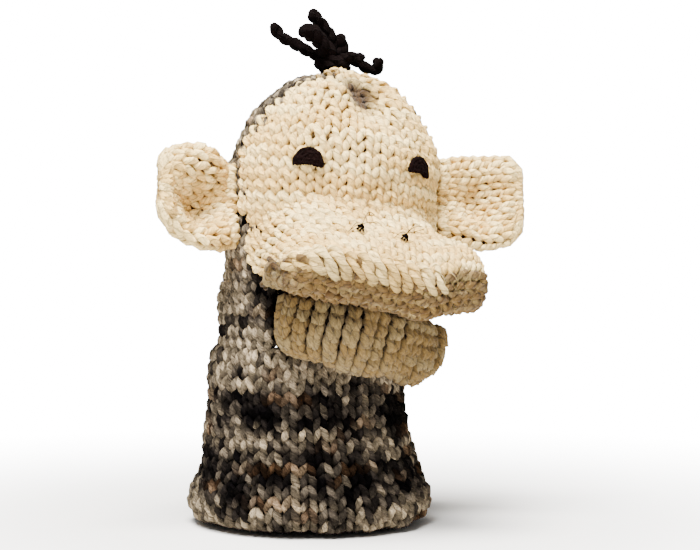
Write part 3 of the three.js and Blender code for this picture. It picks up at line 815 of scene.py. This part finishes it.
floor_side = smooth_line([(-45, 101), (-44, 98), (-43, 94), (-42, 89)], STEPS)
floor_middle = smooth_line([(-59, 101), (-54, 97), (-49, 92), (-44, 88)], STEPS)
FLOOR = ruled(floor_side, floor_middle, np.full(STEPS, 36.0), np.full(STEPS, MOUTH_SHIFT + 6), 2.6,
              np.full(STEPS, 0.9))
mouth_floor = Yarns("mouth_floor_knit", 44)
knit(mouth_floor, FLOOR, courses_of(12, np.arange(2.4, FLOOR.length - 1, COURSE), 0.02, 0.98), shaded_wool, in_jaw)
mouth_floor_piece = mouth_floor.make(CREAM_WOOL, replaces=["mouth_floor"])
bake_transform(mouth_floor_piece)


# The ears: one a deep cup knitted round its rim, the other a squarer flap knitted outwards.

JOINTS = {joint["name"]: joint for joint in frame["record"]["behaviour"]["joints"]}


def ear_frame(side, tilt):
    """An ear's place, from its joint: outwards, back and up its seam; tilt turns its lower end forwards."""
    joint = JOINTS["ear_right_fold" if side < 0 else "ear_left_fold"]
    origin = np.array(joint["pos_m"]) / MM
    up = unit(np.array(joint["axis"]))
    up = up if up[2] > 0 else -up
    across = unit(np.cross([0, 1, 0], up))
    back = np.cross(up, across)
    leant = up * math.cos(tilt) + back * math.sin(tilt)
    return origin, side * across, np.cross(leant, across), leant


def in_ear(side, tilt):
    origin, across, back, up = ear_frame(side, tilt)

    def place(points):
        return origin + points[..., :1] * across + points[..., 1:2] * back + points[..., 2:] * up

    return place


def evened(rings):
    """Closed rings with their points spread evenly, by length."""
    return np.stack([along(np.vstack([one, one[:1]]), len(one) + 1)[:-1] for one in rings])


def flap(outline, thickness, rise, shape):
    """A flattened pouch from the head outwards: half-heights and thicknesses at distances, then a cupping."""
    x = np.linspace(outline[0][0], outline[-1][0], 60)[:, None]
    ring = np.linspace(0, 2 * np.pi, 160, endpoint=False)[None]
    half = np.interp(x, *np.transpose(outline))
    thick = np.interp(x, *np.transpose(thickness))
    z = np.interp(x, *np.transpose(rise)) - half * np.sign(np.sin(ring)) * np.abs(np.sin(ring)) ** 0.85
    y = -thick * np.sign(np.cos(ring)) * np.abs(np.cos(ring)) ** 0.8 + shape(x, z)
    grid = evened(np.stack([x + 0 * ring, y, z], axis=-1))
    return Surface(grid, outline[-1][0] - outline[0][0], closed=True)


def cupped(x, z):
    away = np.sqrt(((x - 15) / 18) ** 2 + ((z + 3) / 19) ** 2)
    return 10.0 * np.exp(-((away / 0.5) ** 2)) - 7.0 * smoothstep(0.5, 1.1, away) * smoothstep(2, 12, x)


def curled(x, z):
    hollow = 7.0 * np.exp(-((x - 14) / 10) ** 2 - ((z - 2) / 12) ** 2)
    return hollow - 7.0 * smoothstep(20, 38, x) - 5.0 * smoothstep(6, 21, -z)


CUP = flap(
    [(-1, 16), (6, 20), (15, 23), (23, 21.5), (30, 16.5), (34.5, 8)],
    [(-1, 2.5), (6, 4), (30, 5), (34.5, 2.5)],
    [(-1, -1), (18, 2.5), (34.5, 6)],
    cupped,
)
FLAP = flap(
    [(-1, 17), (8, 19.5), (20, 22), (30, 21.5), (35, 18.5), (38, 12)],
    [(-1, 2.4), (6, 3.6), (33, 4.6), (38, 2)],
    [(-1, 0), (20, 0), (38, 2.5)],
    curled,
)
EARS = (
    (-1, "ear_right", CUP, 15, 0.25, 51),
    (1, "ear_left", FLAP, 14, 0.1, 52),
)

for side, name, surface, stitches, tilt, seed in EARS:
    ear = Yarns(name + "_knit", seed)
    ear_courses = courses_of(stitches, np.arange(1.5, surface.length, COURSE), closed=True)
    knit(ear, surface, ear_courses, cream, in_ear(side, tilt), lumps=1.3, samples=12)
    ear.shaded_backing(surface, cream, in_ear(side, tilt), start=1, inset=1.2)
    ear.fibres(3500, width=0.04)
    piece = ear.make(CREAM_WOOL, replaces=[name])
    origin, across, _, _ = ear_frame(side, 0)
    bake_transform(piece)


# The sewing: overcast stitches round the face panel's edge and along each ear's root.

def overcast(yarns, path, outward, turns, wide, high, radius, tint_seed):
    """A yarn that winds along a path, half of every turn above the knitting."""
    t = np.linspace(0, 2 * np.pi * turns, turns * 12)
    line = smooth_line(path, len(t))
    here, given = np.linspace(0, 1, len(t)), np.linspace(0, 1, len(outward))
    normals = unit(np.stack([np.interp(here, given, outward[:, k]) for k in range(3)], axis=1))
    sideways = unit(np.cross(np.gradient(line, axis=0), normals))
    wound = line + sideways * (wide * np.cos(t))[:, None] + normals * (high * np.sin(t))[:, None]
    # Painted shade: the yarn is tan where it dips under the knitting.
    yarns.tube(wound, radius, cream(wound, t / t[-1], tint_seed, -np.sin(t)))


seam = Yarns("face_seam_stitches", 61)
heights = np.concatenate([np.linspace(166, 205, 14), [208.5, 210.5]])
angles = np.array([float(panel_edge(z)) for z in heights])
spot_v = np.array([v_at_height(z) for z in heights])
right_points, right_normals = TUBE.at(-angles / (2 * np.pi), spot_v)
left_points, left_normals = TUBE.at(angles / (2 * np.pi), spot_v)
seam_normals = np.vstack([right_normals, left_normals[::-1]])
seam_points = np.vstack([right_points, left_points[::-1]]) + 1.8 * seam_normals
overcast(seam, in_head(seam_points), seam_normals, 26, 2.3, 1.5, 1.15, 5)
seam.fibres(400, width=0.04)
seam.make(CREAM_WOOL, "head", ["face_seam_yarn"])

for side, name, _, _, tilt, _ in EARS:
    stitches = Yarns(name + "_stitches", 63 + side)
    origin, across, back, up = ear_frame(side, tilt)
    line = origin + np.linspace(-18, 18, 9)[:, None] * up + 0.5 * across
    overcast(stitches, line, np.tile(across - 0.6 * back, (9, 1)), 7, 3.2, 2.2, 1.3, 7 + side)
    stitches.fibres(150, width=0.04)
    stitches.make(CREAM_WOOL, "head", [name + "_seam_yarn"])


# The eyes: arches of dark yarn, one inside the other, worked solid.

def face_spot(x, z):
    """A place on the face with its directions: to the left, up and outwards."""
    radius = float(np.interp(z, MERIDIAN[HEM_TURN:, 1], MERIDIAN[HEM_TURN:, 0]))
    point, normal = TUBE.at(np.array([math.asin(x / radius) / (2 * np.pi)]), np.array([v_at_height(z)]))
    out = unit(normal[0])
    left = unit(np.cross(out, [0, 0, -1]))
    return point[0], left, np.cross(left, -out), out


def strands_of(yarns, points, radius, tint):
    """A thick yarn made of two plies that wind round each other."""
    length = np.linalg.norm(np.diff(points, axis=0), axis=1).sum()
    line = smooth_line(points, max(12, int(length * 1.6)))
    tangent = unit(np.gradient(line, axis=0))
    first = unit(np.cross(tangent, [0.21, 0.94, 0.27]))
    second = np.cross(tangent, first)
    angle = 2 * np.pi * np.linspace(0, length, len(line)) / THICK_PLY_PITCH
    lumps = 0.06
    slow = np.sin(angle * 0.7 + yarns.rng.uniform(0, 6))
    swell = 1 + lumps * slow + lumps * yarns.rng.normal(0, 0.4, len(line))
    taper = np.minimum(1, 0.62 + np.minimum(np.arange(len(line)), np.arange(len(line))[::-1]) / 4)
    for phase in (0, np.pi):
        offset = first * np.cos(angle + phase)[:, None] + second * np.sin(angle + phase)[:, None]
        yarns.tube(line + 0.36 * radius * offset, 0.78 * radius * swell * taper, tint, sides=9)


for side, name, turn, z in ((-1, "eye_right", 0.0, 163.5), (1, "eye_left", 0.12, 166.0)):
    eye = Yarns(name + "_stitches", 71 + side)
    point, left, up, out = face_spot(1.4 + side * 25.2, z)
    left, up = left * math.cos(turn) - up * math.sin(turn), up * math.cos(turn) + left * math.sin(turn)
    for scale, lift in ((1.0, 0.0), (0.76, 0.5), (0.52, 0.9), (0.28, 1.2), (0.1, 1.3)):
        a = np.linspace(-0.12, math.pi + 0.12, 40)
        arch = np.stack([6.1 * scale * np.cos(a), 6.6 * scale * np.sin(a) + 0.5 * math.cos(scale)], axis=1)
        line = in_head(point + arch[:, :1] * left + arch[:, 1:] * up + (3.0 + lift) * out)
        eye.tube(line, 1.25 + 0.12 * np.sin(9 * a + scale * 20), FELT)
    eye.fibres(900, length=(0.5, 1.6), width=0.05)
    eye.make(FELTED_WOOL, "head", [name], "felt_dark")


# The nostrils: tiny star stitches with stray dark hairs.

for name in ("nostril_right", "nostril_left"):
    low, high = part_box(name)
    centre = (np.array(low) + np.array(high)) / 2 / MM
    nostril = Yarns(name + "_stitches", 75 + len(name))
    rng = nostril.rng
    for turn in (0.2, 1.3, 2.4):
        way = np.array([math.cos(turn), 0, math.sin(turn)])
        inside = [0, 1.2, -0.6]
        line = [centre - 1.7 * way + inside, centre + [0, -1.4, 0.4], centre + 1.5 * way + inside]
        nostril.tube(smooth_line(line, 10), 0.42, INK)
    for turn in rng.uniform(-0.4, 1.2, 5):
        way = np.array([math.cos(turn), 0.25 * rng.normal(), 0.75 * math.sin(turn)]) * rng.choice([-1, 1])
        middle = centre + 3.4 * way + [0, -2.2, 2.6 + rng.normal()]
        line = [centre + [0, -1.4, 1.2], middle, centre + 7.5 * way + [0, -2.2, 1.6]]
        nostril.tube(smooth_line(line, 14), 0.13, INK, sides=5, furry=False)
    nostril.make(DARK_WOOL, "muzzle", [name], "yarn_dark")


# The tuft: a knot of thick yarn and its cut ends.

KNOT = np.array([-5.5, -0.5, 218.0])
knot = Yarns("tuft_knot_yarn", 81)
t = np.linspace(0, 2 * np.pi * 2, 60)
coil_line = KNOT + np.stack([6.0 * np.cos(t), 4.4 * np.sin(t), 1.5 * np.cos(1.5 * t) - 1.0], axis=1)
strands_of(knot, in_head(coil_line), 2.9, INK)
across_line = KNOT + np.array([(-6, 2, -2.5), (-3, -1, 1.8), (2, 1, 2.4), (5.5, -2, -2)])
strands_of(knot, in_head(smooth_line(across_line, 16)), 2.9, INK)
knot.fibres(500, length=(0.5, 2.0), width=0.05)
knot.make(DARK_WOOL, "head", ["tuft_knot"], "yarn_dark")

TUFT = [
    ([(-3, 0, 1.5), (-8, 3, 2.0), (-13, 4, 4.0), (-19, 5, 6.5), (-25.5, 6, 9), (-30, 6, 14)], 2.7),
    ([(0, 0, 2), (-2, -0.4, 6), (-3, -0.8, 11), (-7, -1.4, 15.5), (-11, -2.2, 18.5), (-14.5, -3, 20.5)], 2.9),
    ([(-1, -1, 2), (-6.4, -4.4, 5.0), (-10.0, -6, 8.0), (-14.5, -7, 10.5), (-19, -7.5, 11)], 3.9),
    ([(3, 1, 1), (8.6, 3.6, 2.4), (13.5, 4.4, 2.4), (18.5, 4, -0.4), (23.5, 3, 0), (23, 1.6, 4.6)], 2.7),
    ([(2, 0.5, 2), (3.4, 1.6, 5.4), (3.2, 1.8, 8.6), (1.0, 1.4, 12)], 3.9),
    ([(3, -3, 1.5), (6.4, -6.4, 2.2), (9.5, -9, 2.4), (11, -11.5, 0.6)], 2.2),
]
for number, (points, radius) in enumerate(TUFT, 1):
    strand = Yarns(f"tuft_strand_{number}_yarn", 82 + number)
    strands_of(strand, in_head(smooth_line(KNOT + np.array(points) + [0, 0, 0.8], 40)), radius, INK)
    strand.fibres(450, length=(0.4, 1.8), width=0.05)
    strand.make(DARK_WOOL, "head", [f"tuft_strand_{number}"], "yarn_dark")


# The stage: a pale table that runs on into a white background, and soft light from above.

WHITE = 18.0


def paint(name, colour, roughness):
    """A faintly uneven painted surface."""
    material = bpy.data.materials.new(name)
    material.use_nodes = True
    tree = material.node_tree
    shader = tree.nodes["Principled BSDF"]
    shader.inputs["Roughness"].default_value = roughness
    grain = node(tree, "ShaderNodeTexNoise", Scale=30.0, Detail=3.0)
    ramp = node(tree, "ShaderNodeMapRange", To_Min=0.985, To_Max=1.0)
    tree.links.new(grain.outputs["Fac"], ramp.inputs["Value"])
    tone = tree.nodes.new("ShaderNodeVectorMath")
    tone.operation = "SCALE"
    tone.inputs[0].default_value = colour
    tree.links.new(ramp.outputs["Result"], tone.inputs["Scale"])
    tree.links.new(tone.outputs["Vector"], shader.inputs["Base Color"])
    return material


table = bpy.data.meshes.new("table")
table.from_pydata([(-4, -4, 0), (4, -4, 0), (4, 4, 0), (-4, 4, 0)], [], [(0, 1, 2, 3)])
table_paint = paint("table_paint", (0.86, 0.85, 0.83), 0.6)
tree = table_paint.node_tree
place = tree.nodes.new("ShaderNodeTexCoord")
away = tree.nodes.new("ShaderNodeVectorMath")
away.operation = "LENGTH"
tree.links.new(place.outputs["Object"], away.inputs[0])
far = node(tree, "ShaderNodeMapRange", From_Min=0.08, From_Max=0.55)
far.interpolation_type = "SMOOTHSTEP"
tree.links.new(away.outputs["Value"], far.inputs["Value"])
path = tree.nodes.new("ShaderNodeLightPath")
seen = maths(tree, "MULTIPLY", far.outputs["Result"], path.outputs["Is Camera Ray"])
glow = node(tree, "ShaderNodeEmission", Color=(1, 1, 1, 1), Strength=WHITE)
either = tree.nodes.new("ShaderNodeMixShader")
tree.links.new(seen, either.inputs["Fac"])
tree.links.new(tree.nodes["Principled BSDF"].outputs["BSDF"], either.inputs[1])
tree.links.new(glow.outputs["Emission"], either.inputs[2])
tree.links.new(either.outputs["Shader"], tree.nodes["Material Output"].inputs["Surface"])
table.materials.append(table_paint)
floor = bpy.data.objects.new("table", table)
floor.location.z = -0.0013
bpy.context.scene.collection.objects.link(floor)
floor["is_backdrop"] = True

world = bpy.data.worlds.new("studio")
bpy.context.scene.world = world
world.use_nodes = True
sky = world.node_tree
fill = sky.nodes["Background"]
fill.inputs["Color"].default_value = (1.0, 0.985, 0.965, 1)
fill.inputs["Strength"].default_value = 0.30
white = node(sky, "ShaderNodeBackground", Color=(1, 1, 1, 1), Strength=WHITE)
path = sky.nodes.new("ShaderNodeLightPath")
either = sky.nodes.new("ShaderNodeMixShader")
sky.links.new(path.outputs["Is Camera Ray"], either.inputs["Fac"])
sky.links.new(fill.outputs["Background"], either.inputs[1])
sky.links.new(white.outputs["Background"], either.inputs[2])
sky.links.new(either.outputs["Shader"], sky.nodes["World Output"].inputs["Surface"])


def softbox(name, place, size, power, colour=(1, 1, 1)):
    light = bpy.data.lights.new(name, "AREA")
    light.shape = "SQUARE"
    light.size = size
    light.energy = power
    light.color = colour
    lamp = bpy.data.objects.new(name, light)
    bpy.context.scene.collection.objects.link(lamp)
    lamp.location = place
    lamp.rotation_euler = (Vector((0, -0.02, 0.13)) - Vector(place)).to_track_quat("-Z", "Y").to_euler()


softbox("overhead", (-0.15, -0.25, 1.0), 0.45, 62, (1.0, 0.975, 0.93))
softbox("window", (-0.45, -0.75, 1.0), 0.35, 17)

camera = bpy.data.cameras.new("camera")
camera.sensor_width = 36
camera.lens = 80.86
viewer = bpy.data.objects.new("camera", camera)
aim = Vector((0.0186 * math.cos(CAMERA_TURN), 0.0186 * math.sin(CAMERA_TURN), 0.116))
viewer.location = aim + 0.75 * Vector((math.sin(CAMERA_TURN), -math.cos(CAMERA_TURN), 0))
viewer.rotation_euler = (math.pi / 2, 0, CAMERA_TURN)
bpy.context.scene.collection.objects.link(viewer)
bpy.context.scene.camera = viewer

low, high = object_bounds()
